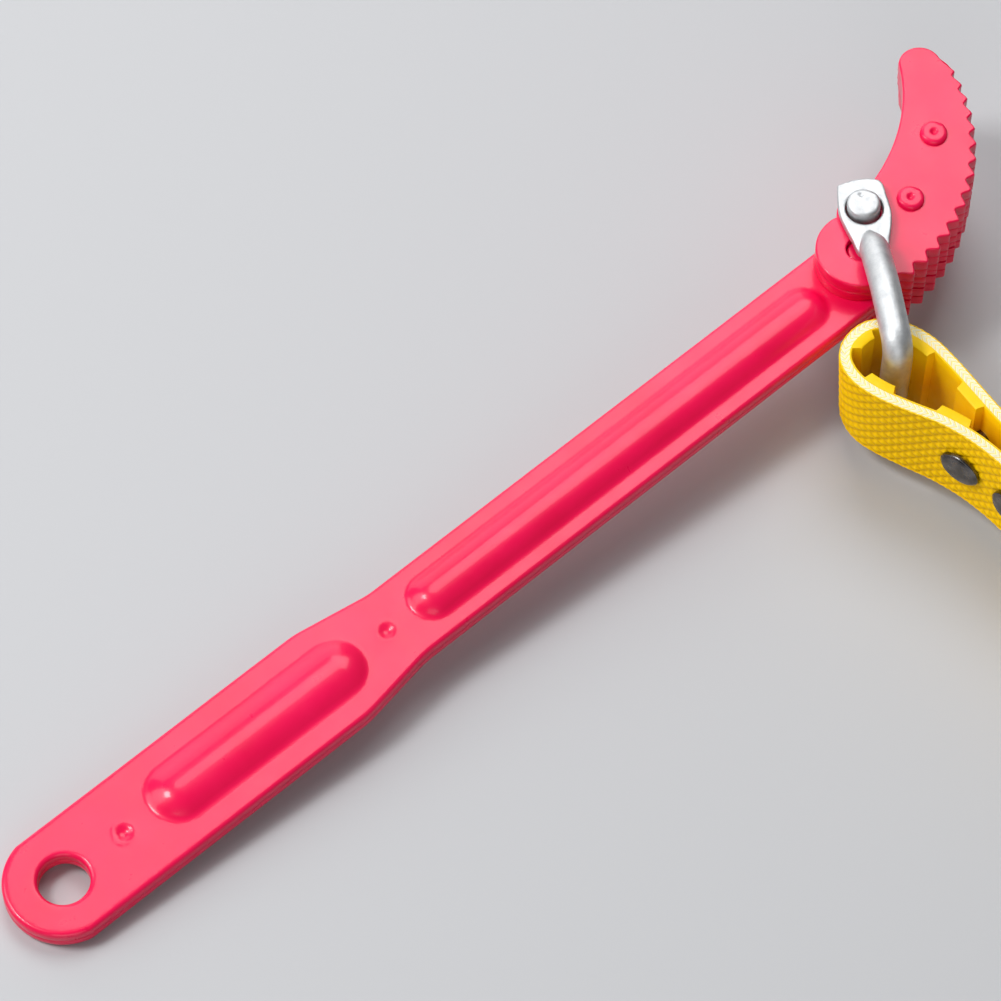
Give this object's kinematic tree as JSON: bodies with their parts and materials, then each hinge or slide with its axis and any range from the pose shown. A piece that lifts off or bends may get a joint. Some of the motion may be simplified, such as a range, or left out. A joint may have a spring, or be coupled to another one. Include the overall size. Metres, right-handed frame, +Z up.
{
  "type": "oil filter strap wrench",
  "caption": "Strap wrench for oil filters: a stamped handle with a laminated toothed cam head, a swinging shackle and a toothed belt looped and riveted on its crossbar",
  "frame": {"origin": "middle of the base of the bounding box of the wrench without its belt, on the surface that it lies on", "axes": "+X along the handle towards the head, +Y to the left of it, +Z up"},
  "size_m": [0.3151, 0.2052, 0.0401],
  "materials": {
    "red_enamel": "glossy enamel",
    "galvanised_steel": "galvanised",
    "yellow_belt": "knurled, matte",
    "plated_steel": "dark polished"
  },
  "bodies": {
    "handle": {"handle_upper_sheet": "red_enamel", "handle_lower_sheet": "red_enamel", "upper_inner_cheek": "red_enamel", "upper_outer_cheek": "red_enamel", "lower_inner_cheek": "red_enamel", "lower_outer_cheek": "red_enamel", "head_rivet_front": "red_enamel", "head_rivet_rear": "red_enamel", "boss_rivet": "red_enamel", "shackle_pin": "galvanised_steel"},
    "shackle": {"shackle": "galvanised_steel"},
    "belt": {"belt": "yellow_belt", "belt_roll": "yellow_belt", "belt_rivet_1": "plated_steel", "belt_rivet_2": "plated_steel", "belt_washer_1": "plated_steel", "belt_washer_2": "plated_steel"}
  },
  "joints": [
    {"name": "shackle_pivot", "type": "hinge", "parent": "handle", "child": "shackle", "pos_m": [0.1039, 0.00595, 0.02147], "axis": [-0.0753, 0, 0.9972], "range_deg": [-8, 55]},
    {"name": "belt_swivel", "type": "hinge", "parent": "shackle", "child": "belt", "pos_m": [0.08146, -0.02856, 0.01978], "axis": [-0.0753, 0, 0.9972], "range_deg": [-25, 25]}
  ]
}
